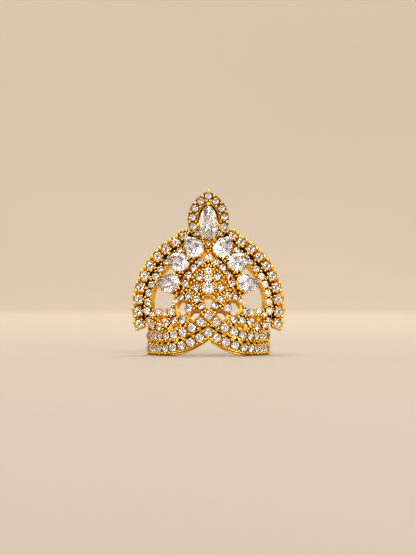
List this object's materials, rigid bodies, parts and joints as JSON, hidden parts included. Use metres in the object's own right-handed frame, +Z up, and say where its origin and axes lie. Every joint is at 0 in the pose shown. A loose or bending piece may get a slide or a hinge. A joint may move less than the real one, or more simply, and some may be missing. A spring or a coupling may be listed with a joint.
{
  "type": "deity crown",
  "caption": "Small gold crown for a deity figure: pierced curved face with a fan of pear stones, a beaded outer arch, a pear finial and a band with two wings.",
  "frame": {"origin": "middle of the crown's bounding box, on the plane its two wings stand on", "axes": "+Z up along the crown's height to the finial, -Y the front that shows, +X to the viewer's right"},
  "size_m": [0.0428, 0.0158, 0.0464],
  "materials": {
    "gold": "bright gold plate over cast metal",
    "crystal": "clear faceted crystal, polished"
  },
  "bodies": {
    "root": {"crown_frame": "gold", "arch_stone_left_01": "crystal", "arch_stone_left_02": "crystal", "arch_stone_left_03": "crystal", "arch_stone_left_04": "crystal", "arch_stone_left_05": "crystal", "arch_stone_left_06": "crystal", "arch_stone_left_07": "crystal", "arch_stone_left_08": "crystal", "arch_stone_left_09": "crystal", "arch_stone_left_10": "crystal", "arch_stone_right_01": "crystal", "arch_stone_right_02": "crystal", "arch_stone_right_03": "crystal", "arch_stone_right_04": "crystal", "arch_stone_right_05": "crystal", "arch_stone_right_06": "crystal", "arch_stone_right_07": "crystal", "arch_stone_right_08": "crystal", "arch_stone_right_09": "crystal", "arch_stone_right_10": "crystal", "centre_stone": "crystal", "centre_stone_upper": "crystal", "finial_stone_01": "crystal", "finial_stone_02": "crystal", "finial_stone_03": "crystal", "finial_stone_04": "crystal", "finial_stone_05": "crystal", "finial_stone_06": "crystal", "finial_stone_07": "crystal", "finial_stone_08": "crystal", "finial_stone_09": "crystal", "pear_stone_lower_left": "crystal", "pear_stone_lower_right": "crystal", "pear_stone_middle_left": "crystal", "pear_stone_middle_right": "crystal", "pear_stone_top": "crystal", "pear_stone_upper_left": "crystal", "pear_stone_upper_right": "crystal"}
  },
  "joints": []
}
